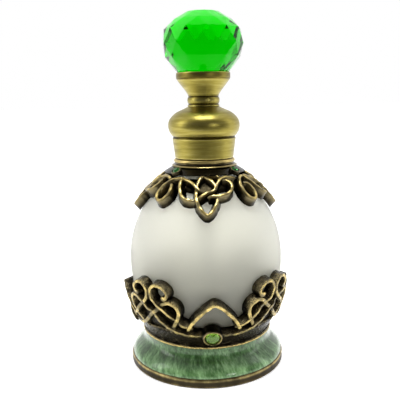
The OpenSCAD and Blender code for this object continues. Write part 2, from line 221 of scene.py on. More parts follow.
def foot_outline():
    """The band outside, the hidden seat under the enamel, and the hollow underneath."""
    seat = smooth_path(COVE, 8) - (ENAMEL_T, 0)
    band = [(21.5, 0, 0.2), (24.2, 0, 0.3), (FOOT_R, 0.3, 0.75), (24.42, 0.8, 0.45), (24.4, 1.5, 0.4)]
    band += [(FOOT_R, 2.1, 0.8), (24.42, 2.35, 0.95), (24.12, 2.75, 0.6)]
    seat = [(r, z, 0.3) for r, z in seat]
    hollow = [(0, COVE_TOP, 0), (0, 7.4, 0.1), (17.5, 7.4, 0.1), (20.9, 2, 0.15)]
    return band + seat + hollow


add_piece("foot", lathe(foot_outline(), 224), FOOT_BRONZE, "bottle", ["foot_casting"])

# ---- Foot enamel ----
# Glass enamel on the foot's cove: a pale green coat brushed on from the neck outwards, with darker
# strokes in it, under a clear glossy top coat.

STROKE_LEAN = 12.0
STROKE_CLIMB = 26.0


def enamel_finish():
    """Streaks follow the cove: the noise is read at (x, y) divided by the distance from the axis, so it
    changes round the foot and hardly along it. STROKE_LEAN turns it by so many radians a metre of
    height, and STROKE_CLIMB is how fast it changes with height."""
    material, tree, link, shader = new_material("brushed enamel")
    place = put(tree, "ShaderNodeTexCoord", -1700, 0)
    lean = put(tree, "ShaderNodeVectorRotate", -1300, 0, rotation_type="Z_AXIS")
    split = put(tree, "ShaderNodeSeparateXYZ", -1500, -200)
    angle = put(tree, "ShaderNodeMath", -1300, -200, operation="MULTIPLY")
    angle.inputs[1].default_value = STROKE_LEAN
    flat = put(tree, "ShaderNodeVectorMath", -1100, 0, operation="MULTIPLY")
    flat.inputs[1].default_value = (1, 1, 0)
    unit = put(tree, "ShaderNodeVectorMath", -900, 0, operation="NORMALIZE")
    rise = put(tree, "ShaderNodeCombineXYZ", -900, -200)
    climb = put(tree, "ShaderNodeMath", -1100, -200, operation="MULTIPLY")
    climb.inputs[1].default_value = STROKE_CLIMB
    spot = put(tree, "ShaderNodeVectorMath", -700, 0, operation="ADD")
    strokes = put(tree, "ShaderNodeTexNoise", -500, 200, Scale=13.0, Detail=4.0, Roughness=0.62)
    strokes.inputs["Distortion"].default_value = 0.25
    hairs = put(tree, "ShaderNodeTexNoise", -500, -50, Scale=42.0, Detail=3.0, Roughness=0.6)
    clouds = put(tree, "ShaderNodeTexNoise", -500, -300, Scale=170.0, Detail=4.0, Roughness=0.6)
    link(place.outputs["Object"], lean.inputs["Vector"])
    link(place.outputs["Object"], split.inputs[0])
    link(split.outputs["Z"], angle.inputs[0])
    link(angle.outputs[0], lean.inputs["Angle"])
    link(lean.outputs[0], flat.inputs[0])
    link(flat.outputs[0], unit.inputs[0])
    link(split.outputs["Z"], climb.inputs[0])
    link(climb.outputs[0], rise.inputs["Z"])
    link(unit.outputs[0], spot.inputs[0])
    link(rise.outputs[0], spot.inputs[1])
    link(spot.outputs[0], strokes.inputs["Vector"])
    link(spot.outputs[0], hairs.inputs["Vector"])
    link(place.outputs["Object"], clouds.inputs["Vector"])
    one = put(tree, "ShaderNodeMix", -250, 100, data_type="FLOAT")
    one.inputs["Factor"].default_value = 0.35
    two = put(tree, "ShaderNodeMix", -50, 0, data_type="FLOAT")
    two.inputs["Factor"].default_value = 0.3
    link(strokes.outputs["Fac"], one.inputs[2])
    link(hairs.outputs["Fac"], one.inputs[3])
    link(one.outputs[0], two.inputs[2])
    link(clouds.outputs["Fac"], two.inputs[3])
    tone = put(tree, "ShaderNodeAttribute", -50, 300, attribute_name="tone")
    total = put(tree, "ShaderNodeMath", 120, 150, operation="ADD")
    colours = ramp(tree, 300, 100, [
        (0.30, (0.010, 0.030, 0.006)),
        (0.42, (0.028, 0.075, 0.018)),
        (0.52, (0.085, 0.185, 0.062)),
        (0.62, (0.210, 0.380, 0.160)),
        (0.75, (0.400, 0.620, 0.330)),
    ])
    link(two.outputs[0], total.inputs[0])
    link(tone.outputs["Fac"], total.inputs[1])
    link(total.outputs[0], colours.inputs["Fac"])
    link(colours.outputs["Color"], shader.inputs["Base Color"])
    relief = put(tree, "ShaderNodeBump", 300, -300, Strength=0.08, Distance=0.0003)
    link(clouds.outputs["Fac"], relief.inputs["Height"])
    link(relief.outputs[0], shader.inputs["Normal"])
    shader.inputs["Roughness"].default_value = 0.3
    shader.inputs["Coat Weight"].default_value = 1.0
    shader.inputs["Coat Roughness"].default_value = 0.08
    shader.inputs["Coat IOR"].default_value = 1.36
    shader.inputs["Specular IOR Level"].default_value = 0.2
    shader.location = (700, 100)
    return material


def enamel_outline():
    """The cove's surface outside and the seat inside. Painted shade: two bells on the height are taken
    off the tone, darkening the coat in the hollow of the cove and under the cradle."""
    face = smooth_path(COVE, 14)
    hollow_shade, cradle_shade = (np.exp(-((face[:, 1] - z) / w) ** 2) for z, w in ((6.9, 1.6), (10.3, 1.5)))
    # Painted shade: the tone drops in the hollow of the cove and under the cradle's edge.
    pale = 0.05 - 0.06 * hollow_shade - 0.08 * cradle_shade
    outside = np.column_stack([face, pale])
    inside = np.column_stack([face - (ENAMEL_T - 0.02, 0), pale])[::-1]
    return np.vstack([outside, inside])


enamel = lathe(enamel_outline(), 224)
add_piece("enamel", enamel, enamel_finish(), "bottle", ["foot_enamel"], 50)

# ---- Cradle bowl ----
# The cast bowl that the glass sits in: blackened bronze, with a rubbed golden bead along its foot. A
# thin web rises from it behind each pair of scrolls, cast in one with it; its near-black tone is painted
# shade in the recesses behind the strands.

GLASS_R = 24.0
GLASS_MID = 33.5
GLASS_UP = 27.7
GLASS_DOWN = 32.0
BOWL_H = 2.2
FACE_H = 3.0
CRADLE_TURN = -1.2
PATINA_STOPS = [
    (0.0, (0.010, 0.008, 0.004)),
    (0.12, (0.022, 0.018, 0.010)),
    (0.32, (0.15, 0.125, 0.068)),
    (0.6, (0.30, 0.235, 0.095)),
    (1.0, (0.70, 0.545, 0.20)),
]
DARK_BRONZE = metal("dark bronze", PATINA_STOPS, (0.2, 0.24), 480, 1250, 1.0, 0.9, 0.19)


def skin_r(z, h):
    """Radius at height z of the surface h outside the glass: two half ellipses on one equator, each
    grown by h both ways."""
    z = np.asarray(z, float)
    half = np.where(z > GLASS_MID, GLASS_UP, GLASS_DOWN)
    return (GLASS_R + h) * np.sqrt(1 - ((z - GLASS_MID) / (half + h)) ** 2)


def on_glass(turn, z, h):
    """Point h outside the glass at the angle turn (degrees from the front): it keeps the elevation that
    height z has on the filigree's outer face."""
    half = np.where(z > GLASS_MID, GLASS_UP, GLASS_DOWN)
    up = np.arcsin(np.clip((z - GLASS_MID) / (half + FACE_H), -1, 1))
    a = np.radians(turn)
    r = (GLASS_R + h) * np.cos(up)
    out = np.stack([np.sin(a) * np.cos(up), -np.cos(a) * np.cos(up), np.sin(up)], -1)
    return np.stack([r * np.sin(a), -r * np.cos(a), GLASS_MID + (half + h) * np.sin(up)], -1), out


def joined(shapes):
    """Several shapes as one."""
    points, faces, tones, start = [], [], [], 0
    for p, f, t in shapes:
        points.append(p)
        faces += [[start + k for k in face] for face in f]
        tones.append(t)
        start += len(p)
    return np.vstack(points), faces, np.concatenate(tones)


def bowl_outline():
    """The golden bead, the dark wall that follows the glass, its rolled top edge and its inner face."""
    foot = [(17.5, 10.9, 0), (19, COVE_TOP, 0), (20.2, COVE_TOP, 0.2), (20.5, 10.42, 0.6)]
    foot += [(20.62, 10.65, 0.85), (20.58, 10.9, 0.7), (20.3, 11.12, 0.25), (20.02, 11.25, 0.05)]
    z = np.linspace(11.6, 15.4, 8)
    wall = np.column_stack([skin_r(z, BOWL_H), z, np.full(8, 0.02)])
    edge = ((15.9, 1.9, 0.25), (16.2, 1.5, 0.35), (16.25, 0.9, 0.2))
    rim = [(skin_r(z, h), z, tone) for z, h, tone in edge]
    z = np.linspace(16.1, 11.2, 8)
    back = np.column_stack([skin_r(z, 0.25), z, np.zeros(8)])
    return np.vstack([foot, wall, rim, back])


def shell(low, high, levels, steps=288):
    """A closed skirt round the glass. low and high give the heights of its edges at each angle; levels
    are rows of (offset from the glass, share of the way from high to low), round the section."""
    turn = np.arange(steps) * 360 / steps
    top, foot = high(turn), low(turn)
    rows = [on_glass(turn, top + (foot - top) * share, h + 0 * turn)[0] for h, share in levels]
    # Every point of the skirt gets tone 0.03, near black: painted shade behind the strands.
    return np.vstack(rows), quads(len(rows), steps, True), np.full(len(rows) * steps, 0.03)


def near(turn, middle, width, power=2):
    """1 at middle degrees and at each quarter turn from it, falling to 0 over width degrees: e to the
    minus (distance over width) to the power."""
    return np.exp(-(np.abs((turn - middle + 45) % 90 - 45) / width) ** power)


def web_top(turn):
    """The web rises behind each pair of scrolls and is hidden in the bowl under the arches."""
    return 15.6 + 6.2 * near(turn, 45 + CRADLE_TURN, 17, 4)


BOWL_WEB = [
    (1.3, 1.0), (1.3, 0.6), (1.2, 0.2), (1.0, 0.02), (0.6, 0.0), (0.25, 0.06), (0.25, 0.6),
    (0.25, 1.0),
]
web = shell(lambda turn: 13 + 0 * turn, web_top, BOWL_WEB)
bowl = joined([lathe(bowl_outline(), 200), web])
add_piece("bowl", bowl, DARK_BRONZE, "bottle", ["cradle_bowl"], 50)

# ---- Cradle arches ----
# Four pointed arches, cast with the bowl. A strand is deep and leans in to a narrow edge, which has been
# rubbed back to gold; its sides keep the black patina, under painted shade that deepens towards the glass
# and painted light that grows towards the edge.

GAP = 0.2
STRAND_PITCH = 0.32
WIDTH_WANDER = 0.11
FACE_WANDER = 0.05
WEAR_WANDER = 0.2
LOW_WEAR = 0.75
BEND_GOLD = 0.24
LEAST_WEAR = 0.24
ARCH = [
    (-18.7, 17.1), (-15.9, 19.2), (-12.3, 21.2), (-8.8, 22.8), (-6.2, 24.0), (-2.3, 25.3),
    (0, 25.8), (2.3, 25.3), (6.2, 24.0), (8.8, 22.8), (12.3, 21.2), (15.9, 19.2), (18.7, 17.1),
]


def strand(points, root, edge, wear=0.75, flank_light=0.0, ball=(0.0, 0.0), seed=0):
    """Carries a strand's profile along the smooth path through points, which are (turn, height, sink).
    The profile stands on the glass; root and edge are its half widths at the foot and at the face.
    Sink lowers the face where the strand goes under another. wear is how far the face is rubbed back
    to gold, less where it is low; the face is also paler gold on the inner side of a bend. The sides
    carry painted shade, darkest at the foot on the glass, and the flank light setting lifts them towards
    the face as painted light. ball swells an end into a round drop, by a bell on the distance from it.
    The face's width and wear wander with sums of sines. Both ends are closed and round."""
    path = smooth_path([(*p, 0.0)[:3] for p in points], 12)
    rest = on_glass(path[:, 0], path[:, 1], FACE_H)[0]
    run = np.concatenate([[0], np.cumsum(np.linalg.norm(np.diff(rest, axis=0), axis=1))])
    extra = np.array([0.02, 0.08, 0.18, 0.3])
    even = np.linspace(0, run[-1], int(run[-1] / STRAND_PITCH))
    along = np.unique(np.concatenate([even, extra, run[-1] - extra]))
    turn, z, low = (np.interp(along, run, path[:, k]) for k in range(3))
    half = np.full(len(along), edge)
    from_ends = (along, run[-1] - along)
    for d, drop in zip(from_ends, ball):
        half += drop * np.exp(-(((d - 0.75) / 0.8) ** 2))
    for d, drop in zip(from_ends, ball):
        half *= np.sqrt(np.clip(1 - (1 - np.clip(d / (edge + drop), 0, 1)) ** 2, 0.003, 1))
    shift = np.random.default_rng(seed).uniform(0, 6.28, 6)
    waves = [np.sin(along * k + s) for k, s in zip((0.9, 2.1, 3.7, 0.6, 1.5, 2.6), shift)]
    half *= 1 + WIDTH_WANDER * sum(waves[:3]) / 3
    low = low + FACE_WANDER * waves[1]
    side = np.concatenate([-np.ones(8), np.ones(8)])
    lean = np.array([1.0, 0.72, 0.45, 0.2, 0.04, 0.0, 0.0, 0.0])
    width = np.array([1.0, 1.0, 1.0, 1.0, 1.03, 0.92, 0.66, 0.25])
    level = np.array([0.0, 0.2, 0.5, 0.78, 0.93, 0.975, 0.992, 1.0])
    on_face = level > 0.95
    # Painted shade on the sides: tone 0.02 at the foot on the glass, rising to 0.3 under the face; the
    # flank setting adds painted light towards the face.
    tones = np.array([0.02, 0.05, 0.14, 0.24, 0.3, 0, 0, 0]) + flank_light * level
    both_sides = (np.concatenate([row, row[::-1]]) for row in (lean, width, level, tones, on_face))
    lean, width, level, tones, on_face = both_sides
    thin = np.clip(half / edge, 0, 1)
    s = side * (half[:, None] * width + (root - edge) * lean * thin[:, None])
    h = GAP + (FACE_H - low[:, None] - GAP) * level
    ahead = np.gradient(on_glass(turn, z, FACE_H)[0], axis=0)
    base, out = on_glass(turn[:, None] + 0 * h, z[:, None] + 0 * h, h)
    across = np.cross(ahead, out[:, 0])
    across /= np.linalg.norm(across, axis=1)[:, None]
    placed = base + s[..., None] * across[:, None, :]
    rows, cols = s.shape
    caps = [list(range(cols - 1, -1, -1)), list(range((rows - 1) * cols, rows * cols))]
    heading = ahead / np.linalg.norm(ahead, axis=1)[:, None]
    inward = np.clip(3.0 * np.sum(np.gradient(heading, axis=0) * across, axis=1), -1, 1)
    rubbed = wear + WEAR_WANDER * sum(waves[3:]) / 2 - LOW_WEAR * low
    rubbed = np.clip(rubbed[:, None] + BEND_GOLD * inward[:, None] * side, LEAST_WEAR, 1)
    tone = np.where(on_face, rubbed, tones * np.ones((rows, 1)))
    return placed.reshape(-1, 3), quads(rows, cols, False) + caps, tone.reshape(-1)


def turned(points, degrees):
    """Points turned about Z."""
    a = math.radians(degrees)
    spin = np.array([[math.cos(a), -math.sin(a), 0], [math.sin(a), math.cos(a), 0], [0, 0, 1]])
    return np.asarray(points) @ spin.T


def mirrored(points):
    """A strand's points on the other side of its middle line."""
    return [(-p[0], *p[1:]) for p in points]


def add_filigree(name, strands, first_turn, material, node, **look):
    """One casting of four equal motifs, a quarter turn apart. strands are (points, settings)."""
    shapes = []
    for k in range(4):
        for m, (points, settings) in enumerate(strands):
            p, f, t = strand(points, seed=100 * k + m, **{**look, **settings})
            shapes.append((turned(p, first_turn + 90 * k), f, t))
    add_piece(name, joined(shapes), material, "bottle", [node], 50)


ARCH_LOOK = {"root": 1.0, "edge": 0.48, "wear": 0.8, "flank_light": 0.03}
add_filigree("arches", [(ARCH, {})], CRADLE_TURN, DARK_BRONZE, "cradle_arches", **ARCH_LOOK)

# ---- Cradle scrolls ----
# Four pairs of scrolls between the arches, cast with the bowl. Each side has a long stem that ends in
# a curl, and a leaf loop that crosses the middle; where two strands meet, one dips under the other.

CURL = [
    (30, 17.3, 0.7), (26.5, 18.0, 0.2), (22.5, 18.8), (18, 20.0, 0.0), (14.6, 21.4), (11.8, 22.6),
    (8.5, 23.6, 0.0), (5.0, 24.8), (2.2, 26.4), (1.4, 28.1), (2.4, 29.5), (5.4, 30.6), (9.9, 30.5),
    (13.3, 29.5), (14.6, 28.3), (13.8, 27.4), (12.0, 27.0), (10.4, 27.5),
]
LEAF = [
    (40, 14.9, 0.6), (33, 14.9, 0.35), (27, 15.1, 0.2), (21, 15.5, 0.2), (16, 16.2, 0.1),
    (11, 17.2, 0.15), (7, 18.4, 0.2), (3.3, 19.9, 0.3), (0, 21.2, 0.3), (-3, 22.1, 0.3),
    (-6, 23.1, 0.3), (-8.7, 24.3, 0.2), (-11.3, 25.3, 0.0), (-14.7, 25.8), (-18.4, 25.3),
    (-21, 24.1), (-21.5, 22.6), (-20.3, 20.9), (-18.2, 19.3, 0.1), (-16.2, 17.9, 0.2),
    (-14, 16.4, 0.45), (-11.5, 15.0, 0.6),
]


def lowered(points, dips):
    """A strand's points, sunk further at the places in dips, which are (index, depth)."""
    deeper = [[*p, 0.0][:3] for p in points]
    for index, depth in dips:
        deeper[index][2] += depth
    return deeper


SCROLLS = [
    (lowered(CURL, [(3, 0.5)]), {"ball": (0.0, 0.4), "wear": 0.72}),
    (mirrored(lowered(CURL, [(5, 0.3), (6, 0.5)])), {"ball": (0.0, 0.4), "wear": 0.72}),
    (lowered(LEAF, [(8, 0.35)]), {"wear": 0.72, "edge": 0.52}),
    (mirrored(lowered(LEAF, [(10, 0.45), (11, 0.2)])), {"wear": 0.72, "edge": 0.52}),
]
SCROLL_LOOK = {"root": 1.0, "edge": 0.45, "flank_light": 0.03}
add_filigree("scrolls", SCROLLS, 45 + CRADLE_TURN, DARK_BRONZE, "cradle_scrolls", **SCROLL_LOOK)

# ---- Stone settings ----
# A round brass boss on the bowl under each arch, cast on with it. Its mouth is a polished bezel that is
# rubbed over the stone to hold it.

STONE_R = 2.28
STONE_Z = 15.4
STONE_TILT = -22
STONE_TURN = -2.5
SETTING = metal("setting brass", PATINA_STOPS, (0.3, 0.22), 500, 2500)


def facing(points, turn, radius, z, tilt):
    """Moves points from their own frame, +Z outwards, to the side of the bottle."""
    a = math.radians(90 - tilt)
    stand = np.array([[1, 0, 0], [0, math.cos(a), -math.sin(a)], [0, math.sin(a), math.cos(a)]])
    return turned(np.asarray(points) @ stand.T + (0, -radius, z), turn)


def four_times(shape, first_turn, radius, z, tilt):
    """The same small piece at a quarter turn from each other."""
    points, faces, tone = shape
    return joined([(facing(points, first_turn + 90 * k, radius, z, tilt), faces, tone) for k in range(4)])


BEZEL = [
    (0, -1.6, 0), (3.0, -1.6, 0), (2.95, 0.2, 0.02), (2.88, 0.95, 0.08), (2.8, 1.3, 0.2),
    (2.66, 1.5, 0.45), (2.5, 1.54, 0.55), (2.36, 1.42, 0.4), (2.31, 1.1, 0.2), (2.3, 0.55, 0.1),
    (0, 0.55, 0.5),
]
stone_seat = (STONE_TURN, float(skin_r(STONE_Z, BOWL_H)), STONE_Z, STONE_TILT)
bezels = four_times(lathe(BEZEL, 48), *stone_seat)
add_piece("bezels", bezels, SETTING, "bottle", ["cradle_settings"])

# ---- Peridot stones ----
# Round stones of yellow-green pressed glass with a cut crown, set in the bosses under the arches and
# held by the bezels.


def corner_ring(radius, z, angles):
    """Points at one radius and height, at the given angles."""
    return np.stack([radius * np.cos(angles), radius * np.sin(angles), z + 0 * angles], -1)


def cut_stone(radius, base, girdle, top, facets=10, table=0.56):
    """A rose of facets: rings of corners at the base, girdle, a mid ring half a facet on, and the flat
    table, joined by their convex hull."""
    ring = np.arange(facets) * 2 * math.pi / facets
    half = math.pi / facets
    middle = (radius * 0.84, girdle + 0.55 * (top - girdle), half)
    rows = [(radius, base, 0), (radius, girdle, 0), middle, (radius * table, top, 0)]
    return np.vstack([corner_ring(r, z, ring + offset) for r, z, offset in rows])


def hull_of(points):
    """Faces of the convex hull, with flat neighbours merged into one facet."""
    bm = bmesh.new()
    for corner in np.asarray(points).tolist():
        bm.verts.new(corner)
    bmesh.ops.convex_hull(bm, input=bm.verts)
    bmesh.ops.dissolve_limit(bm, angle_limit=math.radians(1), verts=bm.verts, edges=bm.edges)
    bmesh.ops.recalc_face_normals(bm, faces=bm.faces)
    bm.verts.index_update()
    corners = np.array([v.co for v in bm.verts])
    faces = [[v.index for v in f.verts] for f in bm.faces]
    bm.free()
    return corners, faces, np.zeros(len(corners))


def clouded(name, scale, detail, deep, pale):
    """A material whose Base Color drifts between two colours with a noise on Object coordinates."""
    material, tree, link, shader = new_material(name)
    place = put(tree, "ShaderNodeTexCoord", -700, 0)
    cloud = put(tree, "ShaderNodeTexNoise", -500, 0, Scale=scale, Detail=detail)
    colours = ramp(tree, -300, 0, [(0.3, deep), (0.7, pale)])
    link(place.outputs["Object"], cloud.inputs["Vector"])
    link(cloud.outputs["Fac"], colours.inputs["Fac"])
    link(colours.outputs["Color"], shader.inputs["Base Color"])
    return material, tree, link, shader


def gem(name, colour, clear):
    """Polished coloured glass; its colour varies a little."""
    deep, pale = (tuple(share * c for c in colour) for share in (0.8, 1.15))
    material, _, _, shader = clouded(name, 260.0, 2.0, deep, pale)
    shader.inputs["Roughness"].default_value = 0.0
    shader.inputs["IOR"].default_value = 1.5
    shader.inputs["Transmission Weight"].default_value = clear
    return material


PERIDOT = gem("peridot glass", (0.34, 0.62, 0.07), 0.9)
peridots = four_times(hull_of(cut_stone(STONE_R, 0.62, 1.0, 1.9, 8, 0.5)), *stone_seat)
add_piece("peridots", peridots, PERIDOT, "bottle", ["cradle_stones"], 5)

# ---- Glass bottle ----
# Blown soda glass with a screw neck. Its outside is acid-frosted all over, so it glows pale grey; the
# thread is a single helix of a little over one turn.

LIP_Z = 67.0
NECK_R = 5.75
THREAD_R = 6.4
BORE_R = 4.2


def glass_finish():
    """Frosted glass: rough clear glass with a fine bite in its surface, so that light is spread. A soft
    cloud varies the roughness, and the colour grows darker and greyer towards the bottom: painted shade."""
    material, tree, link, shader = new_material("frosted glass")
    place = put(tree, "ShaderNodeTexCoord", -1100, 0)
    frost = put(tree, "ShaderNodeTexNoise", -900, 0, Scale=2600.0, Detail=2.0)
    cloud = put(tree, "ShaderNodeTexNoise", -900, -300, Scale=90.0, Detail=3.0)
    split = put(tree, "ShaderNodeSeparateXYZ", -900, 300)
    # Painted shade: the tint darkens and greys from 52 mm down to 12 mm.
    height = put(tree, "ShaderNodeMapRange", -700, 300, From_Min=0.012, From_Max=0.052, To_Max=0.9)
    height.interpolation_type = "SMOOTHSTEP"
    mottle = put(tree, "ShaderNodeMath", -500, 300, operation="MULTIPLY_ADD")
    mottle.inputs[1].default_value = 0.12
    gloss = put(tree, "ShaderNodeMapRange", -450, -300, From_Min=0.3, From_Max=0.7)
    gloss.inputs["To Min"].default_value = 0.42
    gloss.inputs["To Max"].default_value = 0.52
    tint = ramp(tree, -300, 100, [
        (0.05, (0.33, 0.32, 0.235)),
        (0.45, (0.84, 0.835, 0.735)),
        (0.8, (0.97, 0.965, 0.895)),
    ])
    relief = put(tree, "ShaderNodeBump", -450, -550, Strength=0.12, Distance=0.0001)
    for noise in (frost, cloud):
        link(place.outputs["Object"], noise.inputs["Vector"])
    link(place.outputs["Object"], split.inputs[0])
    link(split.outputs["Z"], height.inputs["Value"])
    link(cloud.outputs["Fac"], mottle.inputs[0])
    link(height.outputs[0], mottle.inputs[2])
    link(mottle.outputs[0], tint.inputs["Fac"])
    link(cloud.outputs["Fac"], gloss.inputs["Value"])
    link(gloss.outputs[0], shader.inputs["Roughness"])
    link(tint.outputs["Color"], shader.inputs["Base Color"])
    link(frost.outputs["Fac"], relief.inputs["Height"])
    link(relief.outputs[0], shader.inputs["Normal"])
    shader.inputs["IOR"].default_value = 1.45
    shader.inputs["Transmission Weight"].default_value = 0.8
    return material


def glass_outline():
    """Outside from the flat foot to the lip, then back down the inside."""
    z = np.linspace(11.6, 58.4, 60)
    body = np.column_stack([skin_r(z, 0), z])
    foot = [(0, 10.4), (15.2, 10.4), (16.1, 10.55), (16.75, 11.0)]
    shoulder = [(8.7, 59.2), (7.6, 59.75), (6.6, 60.05), (6.0, 60.2), (NECK_R, 60.6)]
    neck = [(NECK_R, z) for z in np.linspace(61.0, 66.4, 40)]
    lip = [(NECK_R, 66.7), (5.5, LIP_Z), (4.5, LIP_Z), (BORE_R, 66.7), (BORE_R, 59.2)]
    z = np.linspace(57.4, 14.8, 40)
    back = np.column_stack([skin_r(z, -2.2), z])
    return np.vstack([foot, body, shoulder, neck, lip, back, [(14, 13.8), (0, 13.8)]])


def threaded(points):
    """Raises a helical ridge on the neck: the height above the helix, wrapped to one pitch, gives a bell
    shaped ridge that fades in and out at the thread's two ends."""
    pitch, start, turns = 2.6, 61.8, 1.4
    r = np.hypot(points[:, 0], points[:, 1])
    turn = (np.arctan2(points[:, 1], points[:, 0]) / (2 * math.pi)) % 1
    k = np.round((points[:, 2] - start) / pitch - turn)
    gone = k + turn
    off = points[:, 2] - start - pitch * gone
    fade = np.clip(gone / 0.15, 0, 1) * np.clip((turns - gone) / 0.15, 0, 1)
    ridge = (THREAD_R - NECK_R) * np.exp(-((off / 0.42) ** 4)) * fade
    on_neck = (np.abs(r - NECK_R) < 1e-6) & (points[:, 2] > 60.9) & (points[:, 2] < 66.5)
    grow = np.where(on_neck, (r + ridge) / np.maximum(r, 1e-9), 1)
    return points * np.column_stack([grow, grow, np.ones(len(grow))])


glass_points, glass_faces, glass_tone = lathe(glass_outline(), 160)
bottle = (threaded(glass_points), glass_faces, glass_tone)
add_piece("bottle_glass", bottle, glass_finish(), "bottle", ["glass_bottle"], 60)

# ---- Collar ring ----
# A cast ring round the neck: a rubbed bead, with a painted highlight on its top, and a thin rim, then a
# black shoulder whose lower edge runs down behind the knots and fills the petals, near black there as
# painted shade.

COLLAR_TURN = -4.5
BEAD_R = 0.62
COLLAR_BRONZE = metal("collar bronze", PATINA_STOPS, (0.26, 0.3), 300, 900, 1.0, 0.12, 0.05)


def collar_outline():
    """Bead, rim and the upper shoulder, in rows of radius, height and tone."""
    a = np.radians(np.linspace(-70, 100, 12))
    # Rubbed gold bead with a painted highlight: the cosine lifts the tone on its upper outer side.
    wear_and_highlight = 0.62 + 0.3 * np.cos(a - 0.9)
    bead = np.column_stack([8.9 + BEAD_R * np.cos(a), 64.05 + BEAD_R * np.sin(a), wear_and_highlight]).tolist()
    top = [(8.5, 64.66, 0.4), (7.98, 64.5, 0.1), (7.95, 61.0, 0)]
    rim = [(9.75, 62.3, 0.05), (10.05, 62.45, 0.4), (10.15, 62.65, 0.7)]
    rim += [(10.0, 62.85, 0.6), (9.5, 63.0, 0.25), (9.1, 63.25, 0.1)]
    shoulder = [(skin_r(60.0, 0.3), 60.0, 0), (12.4, 60.5, 0.05), (12.55, 60.75, 0.12)]
    shoulder += [(11.6, 61.35, 0.02), (10.4, 62.05, 0.0)]
    return shoulder + rim + bead + top


def web_foot(turn):
    """The web's lower edge dips behind the middle of each knot and fills each petal."""
    loops = near(turn, COLLAR_TURN, 26, 6)
    middle = near(turn, COLLAR_TURN + 0.5, 8.5, 4)
    petal = near(turn, COLLAR_TURN + 45, 7.6, 4)
    return 58.4 - 0.6 * loops - 2.1 * middle - 4.3 * petal


COLLAR_WEB = [
    (0.6, 1.0), (0.9, 0.93), (1.05, 0.7), (1.15, 0.35), (1.2, 0.0), (0.3, 0.0), (0.3, 0.5),
    (0.3, 1.0),
]
collar_shapes = [lathe(collar_outline(), 200), shell(web_foot, lambda turn: 61 + 0 * turn, COLLAR_WEB)]
add_piece("collar", joined(collar_shapes), COLLAR_BRONZE, "bottle", ["collar_ring"], 50)

# ---- Collar knots ----
# Four interlaced knots: a left loop, a middle loop, a right loop and a pointed drop, each strand going
# over or under the next.

LEFT_LOOP = [
    (-31.5, 60.2, 0.2), (-30.5, 58.9), (-27.9, 57.6), (-24.8, 56.2), (-21.1, 55.2), (-17, 54.8),
    (-12.5, 54.9, 0.45), (-8.3, 55.3, 0.45), (-4, 56.1, 0.1), (0, 56.7, 0.1), (4.5, 57.2, 0.3),
    (8.2, 57.6, 0.3), (9.4, 58.4), (7.3, 59.2), (4.2, 59.9), (0.5, 60.4, 0.2), (-3, 60.8, 0.4),
]
LEFT_TOP = [
    (-31.5, 60.3, 0.1), (-28, 60.0), (-22.9, 59.6), (-18, 59.3), (-14.3, 58.8), (-11.2, 58.1),
    (-8.2, 57.5, 0.2), (-5.5, 57.0, 0.6),
]
CROWN_AND_TIP = [
    (19.7, 60.3, 0.3), (15.3, 60.7, 0.2), (10.4, 61.0, 0.2), (5.5, 61.2, 0.2), (0.5, 61.2, 0.1),
    (-3.8, 60.9, 0.1), (-7.5, 60.2), (-10, 59.1, 0.25), (-10.6, 58.0, 0.5), (-10.2, 56.8, 0.1),
    (-9.8, 55.5), (-8.3, 54.2), (-6.3, 53.0), (-3.2, 51.7), (-0.8, 51.0), (0.0, 50.85), (0.8, 51.0),
    (3.0, 51.7), (5.5, 52.8), (7.9, 54.1, 0.1), (9.3, 55.3, 0.45), (9.6, 56.2, 0.7),
]
RIGHT_TOP = [
    (6.5, 57.3, 0.6), (9.2, 57.9, 0.4), (11, 58.7, 0.1), (14.1, 59.4), (18.4, 60.1), (24, 60.3),
    (30.2, 60.3), (36.3, 60.1, 0.1), (39.4, 59.8, 0.3),
]
RIGHT_LOOP = [
    (20, 60.0, 0.6), (24.5, 59.7, 0.3), (27.6, 59.1), (27.3, 58.0), (24.3, 57.0), (19.7, 56.3),
    (13.5, 55.9), (7.9, 55.8), (3.6, 55.8, 0.15), (0.5, 55.6, 0.6),
]
KNOT = [(points, {}) for points in (LEFT_LOOP, LEFT_TOP, CROWN_AND_TIP, RIGHT_TOP, RIGHT_LOOP)]
# The collar's strands get more painted light on their sides than the cradle's.
COLLAR_LOOK = {"root": 1.2, "edge": 0.38, "wear": 0.74, "flank_light": 0.14}
add_filigree("knots", KNOT, COLLAR_TURN, COLLAR_BRONZE, "collar_knots", **COLLAR_LOOK)

# ---- Collar petals ----
# A single teardrop loop of the same cast strand between each knot and the next, its end laid under
# its beginning.

PETAL = [
    (12.8, 60.2, 0.2), (8, 60.1), (2.5, 59.9), (-2.3, 59.2), (-5.4, 58.3), (-6.9, 57.0),
    (-6.6, 55.8), (-5.0, 54.9), (-2.0, 54.3), (1.8, 54.2), (4.9, 54.9), (7.0, 56.0), (7.0, 57.3),
    (4.8, 58.3, 0.1), (1.6, 58.7, 0.4),
]
add_filigree("petals", [(PETAL, {})], COLLAR_TURN + 45, COLLAR_BRONZE, "collar_petals", **COLLAR_LOOK)

# ---- Collar stones ----
# Small dark green glass stones in round brass cups on the collar's shoulder, one above each petal.
# The cups are cast on, and the stones are pressed in.

